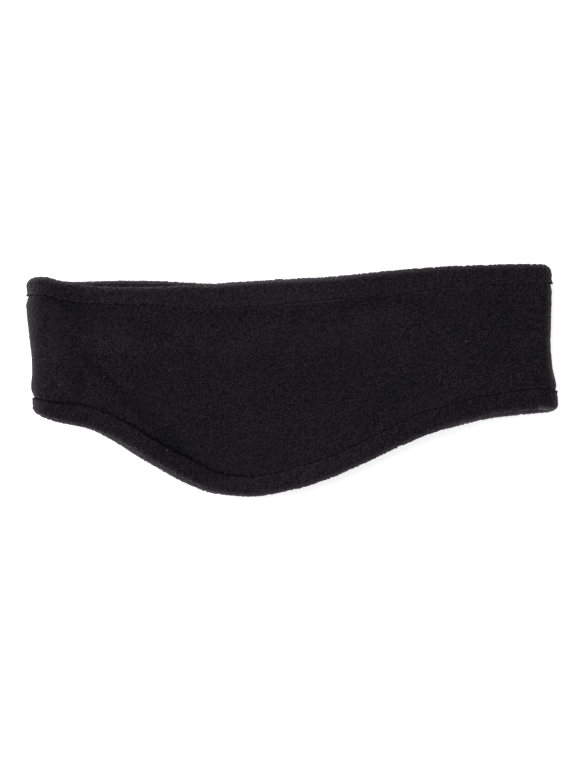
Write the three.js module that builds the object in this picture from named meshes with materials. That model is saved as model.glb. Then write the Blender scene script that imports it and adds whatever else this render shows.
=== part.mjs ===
// Ear warmer headband of black polar fleece: one loop of fleece, its two long edges bound with folded strips of the
// same cloth. It lies flat, folded in two, so the loop has an upper layer, a lower layer and a fold at each end.
// X runs from the nape fold to the forehead fold, Y from the ear edge to the crown edge, and Z up from the surface.
import * as THREE from "three";

// Sizes of the folded band, in millimetres.
const FOLDED_LENGTH = 260; // nape fold to forehead fold, outside to outside
const NAPE_WIDTH = 62.5; // ear edge at the nape up to the crown edge at its lowest
const EAR_DROP = 40; // how much lower the ear edge reaches under the ear
const CROWN_RISE = 11.5; // how much the crown edge climbs from its lowest point to the forehead
const LAYER_LAP = 3; // the most by which the lower layer shows past the upper one
const FOLD_SWAY = 3.6; // how far each fold line wanders in from its end of the band

// Sizes of the cloth.
const PANEL_THICKNESS = 2.4; // fleece of the loop
const STRIP_THICKNESS = 1.7; // fleece of the two binding strips
const ENCLOSED_THICKNESS = 2; // the panel where a binding is folded round it
const STITCHED_THICKNESS = 1.7; // the panel under the stitches
const LIP_THICKNESS = 0.45; // a binding strip under the stitches
const CLEARANCE = 0.3; // gap between the panel and the strip round it
const BINDING_WIDTH = 10.4; // outer edge of a binding to its stitch line
const PANEL_INSET = 2.8; // outer edge of a binding to the panel's cut edge inside it
const SEAM_DEPTH = 0.35; // how deep the nape seam draws in each face of the panel

// Sizes of the loop as it lies.
const FOLD_OPENING = 8.4; // room between the bindings inside each fold
const MIDDLE_OPENING = 5.6; // room between the bindings half way along
const UPPER_SAG = 0.9; // how far the upper layer sinks between its bindings
const LOWER_LIFT = 0.3; // height of the lower layer's panel over the surface where it sinks most
const SAG_RUN = 14; // distance from a stitch line in which the panel reaches its full sag
const STEP_RUN = 7; // distance in which the middle of the cloth moves out, from thick binding to thin panel
const PUFF_RUN = 3; // distance past a stitch line in which the panel regains its thickness
const DIP_START = 0.03; // share of the length, from each end, where the upper layer starts to come down
const DIP_END = 0.34; // share of the length, from each end, where the upper layer has come down

// The band's outline by its share of the way from nape to forehead. crown: height of the crown edge, a share of
// CROWN_RISE. ear: drop of the ear edge, a share of EAR_DROP. crownLap, earLap: how far the lower layer shows past the
// upper one at that edge, a share of LAYER_LAP, and less than 0 where it hides.
const OUTLINE = [
  { along: 0.0, crown: 0.4, ear: -0.02, crownLap: 0, earLap: 0 },
  { along: 0.03, crown: 0.4, ear: 0.05, crownLap: 0, earLap: 0 },
  { along: 0.06, crown: 0.235, ear: 0.105, crownLap: 0.2, earLap: 0.05 },
  { along: 0.1, crown: 0.095, ear: 0.155, crownLap: 0.65, earLap: 0.1 },
  { along: 0.14, crown: 0.035, ear: 0.265, crownLap: 0.95, earLap: 0.2 },
  { along: 0.18, crown: 0.0, ear: 0.425, crownLap: 1.05, earLap: 0.3 },
  { along: 0.23, crown: 0.013, ear: 0.62, crownLap: 1.05, earLap: 0.35 },
  { along: 0.28, crown: 0.045, ear: 0.775, crownLap: 0.8, earLap: 0.3 },
  { along: 0.34, crown: 0.12, ear: 0.922, crownLap: 0.25, earLap: 0.1 },
  { along: 0.4, crown: 0.225, ear: 0.995, crownLap: -0.3, earLap: -0.1 },
  { along: 0.45, crown: 0.295, ear: 0.977, crownLap: -0.5, earLap: -0.3 },
  { along: 0.51, crown: 0.365, ear: 0.888, crownLap: -0.5, earLap: -0.4 },
  { along: 0.57, crown: 0.42, ear: 0.75, crownLap: -0.5, earLap: -0.4 },
  { along: 0.63, crown: 0.55, ear: 0.597, crownLap: -0.5, earLap: -0.4 },
  { along: 0.69, crown: 0.69, ear: 0.407, crownLap: -0.5, earLap: -0.25 },
  { along: 0.75, crown: 0.795, ear: 0.24, crownLap: -0.4, earLap: 0 },
  { along: 0.81, crown: 0.885, ear: 0.107, crownLap: -0.4, earLap: 0.3 },
  { along: 0.87, crown: 0.95, ear: 0.0, crownLap: -0.3, earLap: 0.6 },
  { along: 0.93, crown: 0.99, ear: -0.058, crownLap: -0.2, earLap: 0.6 },
  { along: 0.975, crown: 1.0, ear: -0.07, crownLap: -0.05, earLap: 0.3 },
  { along: 1.0, crown: 0.9, ear: -0.045, crownLap: 0, earLap: 0 },
];

// The two fold lines by their share of the way up the band. nape, forehead: distance in from that end of the band, a
// share of FOLD_SWAY.
const FOLD_LINES = [
  { up: 0.0, nape: 0.95, forehead: 0.0 },
  { up: 0.1, nape: 0.85, forehead: 0.05 },
  { up: 0.2, nape: 0.62, forehead: 0.4 },
  { up: 0.32, nape: 0.6, forehead: 0.75 },
  { up: 0.45, nape: 0.65, forehead: 0.98 },
  { up: 0.6, nape: 0.32, forehead: 1.0 },
  { up: 0.75, nape: -0.05, forehead: 1.0 },
  { up: 0.88, nape: 0.03, forehead: 0.9 },
  { up: 1.0, nape: 0.0, forehead: 0.85 },
];

// Soft dents in the upper layer. along, up: the middle of the dent, as shares of the band's length and height.
// heading: which way it runs, in degrees from X. long, wide: its half length and half width, shares of FOLDED_LENGTH.
// deep: its depth, a share of PANEL_THICKNESS.
const DENTS = [
  { along: 0.09, up: 0.28, heading: 85, long: 0.034, wide: 0.012, deep: 0.5 },
  { along: 0.145, up: 0.4, heading: -28, long: 0.046, wide: 0.013, deep: 0.6 },
  { along: 0.1, up: 0.8, heading: -31, long: 0.06, wide: 0.02, deep: 0.45 },
  { along: 0.22, up: 0.79, heading: -27, long: 0.034, wide: 0.013, deep: 0.3 },
  { along: 0.385, up: 0.85, heading: 1, long: 0.085, wide: 0.013, deep: 0.4 },
  { along: 0.663, up: 0.86, heading: 4, long: 0.062, wide: 0.013, deep: 0.5 },
  { along: 0.762, up: 0.757, heading: -21, long: 0.05, wide: 0.015, deep: 0.5 },
  { along: 0.62, up: 0.48, heading: -7, long: 0.12, wide: 0.03, deep: 0.4 },
  { along: 0.238, up: 0.52, heading: 0, long: 0.05, wide: 0.022, deep: 0.35 },
  { along: 0.9, up: 0.68, heading: 60, long: 0.04, wide: 0.022, deep: 0.3 },
];

// The rolled outer face of a binding, from its outer edge to its stitch line. across: distance from the outer edge, a
// share of BINDING_WIDTH. thick: distance from the middle of the cloth, a share of the binding's half thickness.
const ROLL = [
  { across: 0.0, thick: 0.0 },
  { across: 0.05, thick: 0.47 },
  { across: 0.16, thick: 0.83 },
  { across: 0.33, thick: 1.0 },
  { across: 0.7, thick: 1.0 },
  { across: 0.9, thick: 0.8 },
];

// Where the sections have their rows inside a binding: shares of the way from the panel's cut edge to the stitch line.
const SLOT_ROWS = [0, 0.45, 0.8, 1];

// How finely the faceted solids are cut.
const FOLD_STEPS = 10;
const UPPER_STEPS = 30;
const LOWER_STEPS = 24;
const PANEL_ROWS = 8;

const panelHalf = PANEL_THICKNESS / 2;
const bindingHalf = ENCLOSED_THICKNESS / 2 + CLEARANCE + STRIP_THICKNESS;
const lowerLevel = bindingHalf; // middle of the lower layer, so that its bindings lie on the surface
const foldRadius = bindingHalf + FOLD_OPENING / 2;
const middleDip = FOLD_OPENING - MIDDLE_OPENING;
const lowerSag = lowerLevel - panelHalf - LOWER_LIFT;

const mix = THREE.MathUtils.lerp;
const ease = (value, from, to) => THREE.MathUtils.smoothstep(value, from, to);

// The value of one column of a table at a place between its rows, on a smooth curve through them.
function lookUp(table, place, column, at) {
  const last = table.length - 1;
  const x = THREE.MathUtils.clamp(at, table[0][place], table[last][place]);
  let i = 0;
  while (i < last - 1 && table[i + 1][place] < x) i++;
  const slope = (k) => {
    const a = table[Math.max(k - 1, 0)];
    const b = table[Math.min(k + 1, last)];
    return (b[column] - a[column]) / (b[place] - a[place]);
  };
  const run = table[i + 1][place] - table[i][place];
  const t = (x - table[i][place]) / run;
  const [t2, t3] = [t * t, t * t * t];
  return (
    (2 * t3 - 3 * t2 + 1) * table[i][column] +
    (t3 - 2 * t2 + t) * run * slope(i) +
    (3 * t2 - 2 * t3) * table[i + 1][column] +
    (t3 - t2) * run * slope(i + 1)
  );
}

// The band's crown and ear edge at a share of its length. upper is 1 on the upper layer and 0 on the lower one.
function edges(along, upper) {
  const lap = LAYER_LAP * (1 - upper);
  const crown = CROWN_RISE * lookUp(OUTLINE, "along", "crown", along);
  const ear = NAPE_WIDTH + EAR_DROP * lookUp(OUTLINE, "along", "ear", along);
  return {
    crown: crown + lap * lookUp(OUTLINE, "along", "crownLap", along),
    ear: -ear - lap * lookUp(OUTLINE, "along", "earLap", along),
  };
}

// How far the middle of the cloth stays in from one end of the band, at a height and a distance from the nearer edge.
function foldInset(end, up, fromEdge) {
  const thinned = ease(fromEdge, BINDING_WIDTH - STEP_RUN / 2, BINDING_WIDTH + STEP_RUN / 2);
  const sway = FOLD_SWAY * lookUp(FOLD_LINES, "up", end, up);
  return sway + mix(bindingHalf, panelHalf, thinned);
}

// How deep the soft dents press the upper layer in at a place on it.
function dentDepth(along, up, height) {
  let depth = 0;
  for (const dent of DENTS) {
    const dx = (along - dent.along) * FOLDED_LENGTH;
    const dy = (up - dent.up) * height;
    const heading = THREE.MathUtils.degToRad(dent.heading);
    const down = (dx * Math.cos(heading) + dy * Math.sin(heading)) / (dent.long * FOLDED_LENGTH);
    const side = (dy * Math.cos(heading) - dx * Math.sin(heading)) / (dent.wide * FOLDED_LENGTH);
    depth += dent.deep * PANEL_THICKNESS * Math.exp(-down * down - side * side);
  }
  return depth;
}

// A point on the middle of the cloth. turn goes round the loop in four legs: 0 to 1 up round the nape fold, 1 to 2
// along the upper layer, 2 to 3 down round the forehead fold, 3 to 4 back along the lower layer.
// up is the share of the way from the ear edge to the crown edge.
function middle(turn, up) {
  const leg = Math.floor(turn) % 4;
  const part = turn - Math.floor(turn);
  const swing = Math.PI * (leg === 2 ? 0.5 - part : part - 0.5);
  const upper = leg % 2 ? (leg === 1 ? 1 : 0) : (1 + Math.sin(swing)) / 2;
  const guess = leg === 0 ? 0 : leg === 2 ? 1 : leg === 1 ? part : 1 - part;
  const span = edges(guess, upper);
  const fromEdge = Math.min(up, 1 - up) * (span.crown - span.ear);
  const nape = foldInset("nape", up, fromEdge);
  const forehead = FOLDED_LENGTH - foldInset("forehead", up, fromEdge);
  const reach = foldRadius * (1 - Math.cos(swing));
  const x = [
    nape + reach,
    mix(nape + foldRadius, forehead - foldRadius, part),
    forehead - reach,
    mix(forehead - foldRadius, nape + foldRadius, part),
  ][leg];
  const along = (x - nape) / (forehead - nape);
  const { crown, ear } = edges(along, upper);
  const height = crown - ear;
  const fromStitches = Math.min(up, 1 - up) * height - BINDING_WIDTH;
  const sagging = ease(fromStitches, 0, SAG_RUN);
  const dip = middleDip * ease(along, DIP_START, DIP_END) * ease(1 - along, DIP_START, DIP_END);
  const free = ease(fromStitches, -BINDING_WIDTH / 2, BINDING_WIDTH / 2);
  const sunk = mix(lowerSag, UPPER_SAG, upper) * sagging + upper * free * dentDepth(along, up, height);
  const z = lowerLevel + 2 * foldRadius * upper - dip * upper - sunk;
  return new THREE.Vector3(x, mix(ear, crown, up), z);
}

// A point at a distance from the middle of the cloth, more than 0 on the loop's outer face.
function onCloth(turn, up, distance) {
  const step = 1e-3;
  const around = middle(turn + step, up).sub(middle((turn + 4 - step) % 4, up));
  const low = Math.max(up - step, 0);
  const high = Math.min(up + step, 1);
  const upwards = middle(turn, high).sub(middle(turn, low));
  const outwards = around.cross(upwards).normalize();
  return middle(turn, up).addScaledVector(outwards, distance);
}

// The places round the loop where its sections stand.
function stations() {
  const steps = [FOLD_STEPS, UPPER_STEPS, FOLD_STEPS, LOWER_STEPS];
  return steps.flatMap((count, leg) => Array.from({ length: count }, (_, i) => leg + i / count));
}

// The height of the band at a station, and how much longer than its width a binding measures straight down there,
// because the edge slopes.
function sectionSize(turn) {
  const crown = middle(turn, 1);
  const ear = middle(turn, 0);
  const stretch = (up) => {
    const step = 1e-3;
    const run = middle(turn + step, up).sub(middle((turn + 4 - step) % 4, up));
    return run.length() / Math.hypot(run.x, run.z);
  };
  return { height: crown.y - ear.y, crown: stretch(1), ear: stretch(0) };
}

// A closed tube of cloth: section(turn) gives the outline of the cloth at each station, as { up, distance } points.
function clothLoop(name, section, material) {
  const rings = stations().map((turn) => section(turn).map((p) => onCloth(turn, p.up, p.distance)));
  const count = rings[0].length;
  const index = [];
  rings.forEach((ring, i) => {
    const next = (i + 1) % rings.length;
    ring.forEach((_, k) => {
      const after = (k + 1) % count;
      const [a, b] = [i * count + k, i * count + after];
      const [c, d] = [next * count + k, next * count + after];
      index.push(a, c, b, b, c, d);
    });
  });
  const geometry = new THREE.BufferGeometry().setFromPoints(rings.flat());
  geometry.setIndex(index);
  geometry.computeVertexNormals();
  const mesh = new THREE.Mesh(geometry, material);
  mesh.name = name;
  return mesh;
}

// Distances in from the band's edge at which the sections have their rows inside a binding.
const slotRows = SLOT_ROWS.map((share) => mix(PANEL_INSET, BINDING_WIDTH, share));

// Half the panel's thickness at a distance in from the band's edge: squeezed inside the binding and under the
// stitches, full in the open.
function panelHalfAt(fromEdge) {
  const squeezed = mix(ENCLOSED_THICKNESS, STITCHED_THICKNESS, ease(fromEdge, PANEL_INSET, BINDING_WIDTH));
  return mix(squeezed, PANEL_THICKNESS, ease(fromEdge, BINDING_WIDTH, BINDING_WIDTH + PUFF_RUN)) / 2;
}

// The panel's section: its cut edges stand inside the two bindings, and its outer and inner face run between them.
// The seam that closes the loop draws both faces in, half way round the nape fold.
function panelSection(turn) {
  const { height, crown, ear } = sectionSize(turn);
  const nearEdge = [...slotRows, BINDING_WIDTH + PUFF_RUN];
  const low = nearEdge.map((d) => ({ up: (d * ear) / height, half: panelHalfAt(d) }));
  const high = nearEdge.map((d) => ({ up: 1 - (d * crown) / height, half: panelHalfAt(d) })).reverse();
  const atSeam = turn < 1 && Math.round(turn * FOLD_STEPS) === Math.round(FOLD_STEPS / 2);
  const open = Array.from({ length: PANEL_ROWS }, (_, i) => ({
    up: mix(low.at(-1).up, high[0].up, (i + 1) / (PANEL_ROWS + 1)),
    half: panelHalf - (atSeam ? SEAM_DEPTH : 0),
  }));
  const rows = [...low, ...open, ...high];
  const outer = rows.map(({ up, half }) => ({ up, distance: half }));
  const inner = rows.map(({ up, half }) => ({ up, distance: -half })).reverse();
  return [...outer, ...inner];
}

// A binding's section: a strip folded in a U round the panel's edge. edge is "crown" or "ear".
function bindingSection(edge, turn) {
  const size = sectionSize(turn);
  const rise = size[edge] / size.height;
  const roll = ROLL.map(({ across, thick }) => [across * BINDING_WIDTH, thick * bindingHalf]);
  const slot = slotRows.map((d) => [d, panelHalfAt(d) + CLEARANCE]).reverse();
  const [stitchLine, slotAtStitches] = slot[0];
  const face = [...roll.slice(1), [stitchLine, slotAtStitches + LIP_THICKNESS]];
  slot[slot.length - 1][0] -= CLEARANCE;
  const mirrored = (points) => points.map(([d, t]) => [d, -t]).reverse();
  const outline = [...mirrored(face), roll[0], ...face, ...slot, ...mirrored(slot)];
  const placed = outline.map(([fromEdge, distance]) => ({ up: fromEdge * rise, distance }));
  return edge === "ear" ? placed : placed.map(({ up, distance }) => ({ up: 1 - up, distance })).reverse();
}

const panelFleece = new THREE.MeshStandardMaterial({ color: 0x1c1a1e, roughness: 0.95, metalness: 0 });
const bindingFleece = new THREE.MeshStandardMaterial({ color: 0x201e22, roughness: 0.95, metalness: 0 });

const headband = new THREE.Group();
headband.name = "ear_warmer_headband";
headband.add(
  clothLoop("fleece_band", panelSection, panelFleece),
  clothLoop("crown_binding", (turn) => bindingSection("crown", turn), bindingFleece),
  clothLoop("ear_binding", (turn) => bindingSection("ear", turn), bindingFleece),
);

// The origin is under the middle of the headband, on the surface it lies on.
const bounds = new THREE.Box3().setFromObject(headband, true);
const centre = bounds.getCenter(new THREE.Vector3());
headband.position.set(-centre.x, -centre.y, -bounds.min.z);

export default headband;
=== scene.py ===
"""Ear warmer headband of black polar fleece: one loop of fleece whose two long edges are bound with folded
strips of the same cloth. It lies folded in two on a pale surface and is seen from straight above.

X runs from the nape fold to the forehead fold, Y from the ear edge to the crown edge, and Z up from the
surface. Shapes are worked out in millimetres and turned to metres when a mesh is made."""

import math

import bpy
import numpy as np
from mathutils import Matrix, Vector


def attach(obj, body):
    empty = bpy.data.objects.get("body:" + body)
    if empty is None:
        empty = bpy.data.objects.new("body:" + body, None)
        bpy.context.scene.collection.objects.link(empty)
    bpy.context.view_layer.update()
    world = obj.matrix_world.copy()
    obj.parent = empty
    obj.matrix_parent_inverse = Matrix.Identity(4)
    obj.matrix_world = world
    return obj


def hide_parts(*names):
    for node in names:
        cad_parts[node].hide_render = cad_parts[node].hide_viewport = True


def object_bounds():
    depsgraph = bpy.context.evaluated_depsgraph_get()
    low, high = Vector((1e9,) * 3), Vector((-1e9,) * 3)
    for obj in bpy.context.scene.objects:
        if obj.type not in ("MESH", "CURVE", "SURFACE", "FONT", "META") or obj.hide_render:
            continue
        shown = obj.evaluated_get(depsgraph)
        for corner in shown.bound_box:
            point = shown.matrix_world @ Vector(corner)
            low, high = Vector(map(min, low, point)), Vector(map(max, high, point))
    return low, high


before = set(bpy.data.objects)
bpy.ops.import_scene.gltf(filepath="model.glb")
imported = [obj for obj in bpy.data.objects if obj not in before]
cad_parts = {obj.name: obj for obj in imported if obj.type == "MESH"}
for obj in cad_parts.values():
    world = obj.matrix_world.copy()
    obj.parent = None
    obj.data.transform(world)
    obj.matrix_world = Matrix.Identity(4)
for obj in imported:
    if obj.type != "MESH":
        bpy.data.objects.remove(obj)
cad_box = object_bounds()

MM = 0.001
LOW, HIGH = (np.array(corner) / MM for corner in cad_box)

# Sizes of the cloth, in millimetres.
BINDING_HALF = 3.0  # middle of the cloth to the face of a binding
PANEL_HALF = 1.2  # middle of the cloth to the face of the panel
ENCLOSED_HALF = 1.0  # the same where a binding is folded round the panel
STITCHED_HALF = 0.85  # the same under the stitches
LIP_THICKNESS = 0.12  # a binding strip where it turns under at the stitches
CLEARANCE = 0.12  # gap between the panel and the strip round it
BINDING_WIDTH = 10.4  # outer edge of a binding to its stitch line, where it is as wide as usual
PANEL_INSET = 2.8  # outer edge of a binding to the panel's cut edge inside it
ROLL_RADIUS = 3.3  # how far in from its outer edge a binding is rounded
SHOULDER_WIDTH = 1.5  # how far a binding curves down into the groove at its stitch line
GROOVE_CLOSING = 0.85  # the share of that groove that the cloth closes over, where it closes most
CLOSED_BETWEEN = 0.4  # how much more of it is closed half way along a stitch than at its hole
CLOSING_REACH = 3  # how far back from the groove the binding is pushed over it, in shoulder widths
SEAM_DEPTH = 0.5  # how deep the nape seam draws in the panel
SEAM_WIDTH = 1.3  # half the width of that dip

# Sizes of the loop as it lies, the outer ones from the solids.
FOLDED_LENGTH = HIGH[0] - LOW[0]
FOLD_RADIUS = (HIGH[2] - 2 * BINDING_HALF) / 2
CROWN_RISE = 11.5  # how much the crown edge climbs from its lowest point to the forehead
EAR_DROP = 40.0  # how much lower the ear edge reaches under the ear
NAPE_WIDTH = HIGH[1] - LOW[1] - CROWN_RISE - EAR_DROP
MIDDLE_DIP = 2.8  # how much closer the layers are half way along than at the folds
LAYER_LAP = 3.0  # the most by which the lower layer shows past the upper one
FOREHEAD_SQUARE = 0.6  # less than 1 squares the forehead fold off, because it is pressed flatter
FOLD_SWAY = 3.6  # how far each fold line wanders in from its end of the band
UPPER_SAG = 0.9  # how far the upper layer sinks between its bindings
LOWER_SAG = 1.5  # how far the lower layer sinks between its bindings
SAG_RUN = 14.0  # distance from a stitch line in which the panel reaches its full sag
CROWN_CORNER, EAR_CORNER = 1.1, 0.7  # how much each edge is rounded off at a fold
CORNER_SHARPNESS = 6  # more keeps that rounding closer to the middle of the fold
STEP_RUN = 7.0  # distance in which the middle of the cloth moves out, from thick binding to thin panel
DIP_START, DIP_END = 0.03, 0.34  # shares of the length, from each end, where the upper layer comes down
PUFF = 0.75  # how much the panel swells beside a stitch line
PUFF_RISE = 1.3  # distance from a stitch line to the top of that swelling
PUFF_FALL = 13.0  # distance from a stitch line to where it ends
OPEN_RUN = 2.5  # distance from a stitch line in which the nape seam reaches its full depth

# The band's outline by its share of the way from nape to forehead.
# crown: height of the crown edge, a share of CROWN_RISE. ear: drop of the ear edge, a share of EAR_DROP.
# crown_lap, ear_lap: how far the lower layer shows past the upper one at that edge, a share of LAYER_LAP,
# and less than 0 where it hides. crown_width, ear_width: how wide the binding is, a share of BINDING_WIDTH.
OUTLINE_COLUMNS = ("along", "crown", "ear", "crown_lap", "ear_lap", "crown_width", "ear_width")
OUTLINE = (
    (0.0, 0.45, 0.0, 0.0, 0.0, 0.905, 0.835),
    (0.03, 0.42, 0.073, 0.0, 0.0, 0.86, 0.865),
    (0.06, 0.23, 0.11, 0.2, 0.05, 0.84, 0.95),
    (0.1, 0.09, 0.158, 0.65, 0.3, 0.82, 0.99),
    (0.14, 0.03, 0.258, 1.0, 0.6, 0.805, 0.975),
    (0.18, 0.0, 0.405, 1.15, 0.81, 0.8, 0.985),
    (0.23, 0.01, 0.592, 1.1, 0.77, 0.82, 0.985),
    (0.28, 0.045, 0.765, 0.8, 0.75, 0.935, 0.975),
    (0.34, 0.115, 0.937, 0.25, 0.35, 1.1, 0.985),
    (0.4, 0.22, 0.996, -0.3, -0.1, 1.18, 0.95),
    (0.45, 0.295, 0.966, -0.5, -0.3, 1.165, 0.91),
    (0.51, 0.365, 0.889, -0.5, -0.4, 1.12, 0.985),
    (0.57, 0.425, 0.763, -0.5, -0.4, 1.03, 0.93),
    (0.63, 0.55, 0.597, -0.5, -0.4, 1.09, 0.925),
    (0.69, 0.69, 0.421, -0.5, -0.3, 1.175, 0.98),
    (0.75, 0.79, 0.254, -0.4, -0.1, 1.005, 1.02),
    (0.81, 0.885, 0.127, -0.4, 0.25, 0.98, 0.95),
    (0.87, 0.945, 0.01, -0.3, 0.6, 0.955, 0.9),
    (0.93, 0.975, -0.044, -0.2, 0.65, 0.945, 0.96),
    (0.975, 0.99, -0.066, -0.05, 0.6, 0.92, 0.985),
    (1.0, 0.985, -0.045, 0.0, 0.15, 0.9, 0.97),
)

# How far the grooves close, and painted shade, painted light and tone along the band's edges, by the share
# of the way from nape to forehead.
# groove: how dark the groove beside the stitches is painted, as painted shade, and the less the cloth closes
# over it; less than 0 it is painted paler there, as painted light.
# tone: how much paler the binding is than usual, less than 0 where it is darker.
# painted_rim_light: how much painted rim light the binding's outer edge gets, the pale glow of backlit
# fibres.
EDGE_TABLE_COLUMNS = (
    "along",
    "crown_groove",
    "ear_groove",
    "crown_tone",
    "ear_tone",
    "crown_brushed",
    "ear_brushed",
)
EDGE_TABLE = (
    (0.0, -1.2, -0.6, 0.2, -0.2, 0.75, 0.65),
    (0.05, 0.0, 0.7, -0.2, -0.25, 0.75, 0.6),
    (0.09, -0.1, 0.5, -0.35, -0.25, 0.75, 0.65),
    (0.12, -0.3, 0.1, 0.12, -0.1, 0.75, 0.85),
    (0.17, -0.35, 0.7, 0.32, 0.1, 0.6, 1.05),
    (0.25, -0.6, 1.4, 0.32, -0.4, 0.65, 1.2),
    (0.33, -1.4, 1.0, 0.1, -0.25, 0.8, 0.75),
    (0.4, -1.7, -0.1, 0.15, 0.1, 1.0, 0.5),
    (0.47, -2.0, -0.65, 0.27, 0.15, 1.0, 0.5),
    (0.54, -2.0, -0.6, 0.32, 0.2, 1.0, 0.5),
    (0.62, -1.2, -0.45, 0.1, 0.1, 0.8, 0.5),
    (0.68, -1.2, -0.45, -0.1, -0.1, 0.5, 0.5),
    (0.77, -1.2, -0.5, -0.08, -0.3, 0.35, 0.5),
    (0.88, -0.85, -0.35, -0.2, -0.35, 0.35, 1.3),
    (0.96, -0.75, -0.55, -0.1, -0.25, 0.35, 1.3),
    (1.0, -1.6, -1.1, -0.1, -0.25, 0.35, 1.3),
)

# The two fold lines by their share of the way up the band.
# nape, forehead: distance in from that end of the band, a share of FOLD_SWAY.
FOLD_COLUMNS = ("up", "nape", "forehead")
FOLD_LINES = (
    (0.0, 0.95, -0.1),
    (0.1, 0.88, 0.05),
    (0.2, 0.78, 0.44),
    (0.32, 0.76, 0.72),
    (0.45, 0.62, 0.92),
    (0.6, 0.26, 0.86),
    (0.74, 0.08, 0.84),
    (0.8, 0.1, 0.97),
    (0.86, 0.14, 0.8),
    (0.91, 0.14, 0.84),
    (1.0, -0.05, 0.8),
)

# Soft dents and swells in the upper layer, with painted shade and painted light on them.
# along, up: the middle of each, as shares of the band's length and height.
# heading: which way it runs, in degrees from X. long, wide: its half length and half width, shares of
# FOLDED_LENGTH. deep: its depth, a share of the panel's thickness.
# painted_shading: how much paler it is painted, as painted light on a swell, less than 0 where it is painted
# darker, as painted shade in a dent or a flat patch.
DENTS = (
    dict(along=0.098, up=0.28, heading=85, long=0.034, wide=0.012, deep=0.5, painted_shading=-0.34),
    dict(along=0.152, up=0.39, heading=-37, long=0.048, wide=0.013, deep=0.6, painted_shading=-0.51),
    dict(along=0.1, up=0.8, heading=-31, long=0.06, wide=0.02, deep=0.45, painted_shading=-0.2),
    dict(along=0.22, up=0.79, heading=-27, long=0.034, wide=0.013, deep=0.3, painted_shading=-0.14),
    dict(along=0.385, up=0.87, heading=1, long=0.085, wide=0.018, deep=0.4, painted_shading=-0.46),
    dict(along=0.67, up=0.87, heading=4, long=0.062, wide=0.015, deep=0.5, painted_shading=-0.8),
    dict(along=0.762, up=0.757, heading=-21, long=0.05, wide=0.015, deep=0.5, painted_shading=-0.41),
    dict(along=0.62, up=0.48, heading=-7, long=0.12, wide=0.03, deep=0.4, painted_shading=-0.14),
    dict(along=0.238, up=0.52, heading=0, long=0.05, wide=0.022, deep=0.35, painted_shading=-0.34),
    dict(along=0.9, up=0.68, heading=60, long=0.04, wide=0.022, deep=0.3, painted_shading=-0.27),
    dict(along=0.08, up=0.85, heading=-5, long=0.045, wide=0.014, deep=0.1, painted_shading=-0.61),
    dict(along=0.273, up=0.17, heading=-30, long=0.1, wide=0.018, deep=0.2, painted_shading=-0.65),
    dict(along=0.685, up=0.28, heading=25, long=0.07, wide=0.027, deep=0.1, painted_shading=-0.38),
    dict(along=0.9, up=0.45, heading=90, long=0.15, wide=0.08, deep=0.0, painted_shading=-0.22),
    dict(along=0.175, up=0.64, heading=-8, long=0.06, wide=0.0245, deep=-0.1, painted_shading=0.34),
    dict(along=0.386, up=0.76, heading=0, long=0.094, wide=0.03, deep=-0.1, painted_shading=0.16),
    dict(along=0.65, up=0.735, heading=5, long=0.079, wide=0.0245, deep=-0.1, painted_shading=0.3),
    dict(along=0.052, up=0.53, heading=85, long=0.075, wide=0.017, deep=-0.1, painted_shading=0.38),
    dict(along=0.44, up=0.5, heading=-10, long=0.12, wide=0.06, deep=0.0, painted_shading=-0.08),
    dict(along=0.34, up=0.48, heading=-60, long=0.07, wide=0.035, deep=0.0, painted_shading=-0.2),
)

# The pile of the fleece, in millimetres. The fibres mat into small nubs with darker gaps between them.
NUB_SIZE = 1.2
NUB_HEIGHT = 0.36
SMALL_NUB_SIZE = 0.95
SMALL_NUB_HEIGHT = 0.18
SMALL_NUB_SHIFT = 5.3  # keeps the small nubs off the places of the large ones
NUB_REACH = 0.62  # square of the distance from a nub's top to the gap round it, in nubs
NUB_DRIFT = 0.3  # how far the nubs are pushed about, so that they don't stand in rows
NUB_DRIFT_SIZE = 1.6
LUMP_SIZE = 7.0  # soft unevenness of the whole cloth
LUMP_HEIGHT = 0.1
PANEL_PILE = 0.7  # how rough the pile stands on the panel
PANEL_PILE_RUN = 1.2  # distance from a stitch line in which it rises to that
BINDING_PILE = 1.7  # how rough it stands on the bindings, where the cloth is stretched round the edge
BINDING_PILE_RUN = 1.8  # distance in which it falls towards a stitch line
BINDING_PILE_LOSS = 0.75  # how much of it is gone there
FLOOR_CLEARANCE = 0.03  # the pile is pressed flat this far above the surface

# Painted light and painted shade on the fleece: rim light at the edges and the nape fold, shade at the
# forehead fold and in the grooves.
RIM_LIGHT_REACH = 1.5  # how far in from a binding's outer edge its painted rim light reaches
FOLD_LIGHT_REACH, FOLD_LIGHT_STRENGTH = 5.5, 0.25  # how far in from the nape fold painted light reaches, and how much there
FOLD_SHADE_REACH, FOLD_SHADE_STRENGTH = 4.0, 1.1  # the same for painted shade at the forehead fold
BACKED_SHARE = 0.9  # how much less painted rim light the edge gets where the lower layer shows beyond it
BACKED_LAP = 0.5  # the share of LAYER_LAP from which that holds in full
PANEL_GROOVE_SHADE_RUN = 1.1  # how far from the stitch line the groove's painted shade reaches on the panel
BINDING_GROOVE_SHADE_RUN = 0.85  # the same on a binding
GROOVE_SHADE_PATCH = 5.0  # size of the patches in which that painted shade is deeper and fainter
GROOVE_SHADE_USUAL = 0.9  # how deep it is painted on average, and how far the patches differ from that
GROOVE_SHADE_BETWEEN, GROOVE_SHADE_AT_HOLE = 0.6, 0.7  # how deep half way along a stitch, and how much more at its hole
PANEL_FLAT_RUN = 0.5  # the panel's faces as near to the stitch line as this have no upright pile at all: they get the sewn-flat material, whose darker colours are painted shade in the groove
BINDING_FLAT_SHARE = 0.85  # the same on a binding, as a share of its shoulder

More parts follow.
